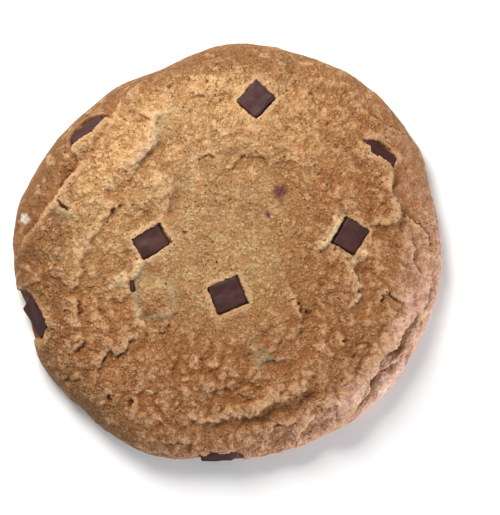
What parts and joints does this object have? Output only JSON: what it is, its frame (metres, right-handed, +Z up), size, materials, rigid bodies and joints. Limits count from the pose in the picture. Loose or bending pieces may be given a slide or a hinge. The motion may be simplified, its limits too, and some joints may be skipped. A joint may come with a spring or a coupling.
{
  "type": "chocolate chip cookie",
  "caption": "Large round bakery cookie with a wavy rim, a folded crust and square chocolate chunks set into its top and side; rests flat.",
  "frame": {"origin": "centre of the bounding box, on the flat underside", "axes": "+Z up out of the top crust, +Y from the middle towards the uppermost chunk, +X to its right seen from above"},
  "size_m": [0.1078, 0.1054, 0.0143],
  "materials": {
    "baked_dough": "matt baked crust, golden tan in the middle and browner at the rim",
    "chocolate": "satin dark chocolate with a faint bloom"
  },
  "bodies": {
    "root": {"cookie": "baked_dough", "chunk_top": "chocolate", "chunk_left": "chocolate", "chunk_middle": "chocolate", "chunk_right": "chocolate", "chunk_upper_right": "chocolate", "chunk_upper_left": "chocolate", "chunk_left_edge": "chocolate", "chunk_lower_edge": "chocolate", "bit_left": "chocolate", "bit_slit": "chocolate"}
  },
  "joints": []
}
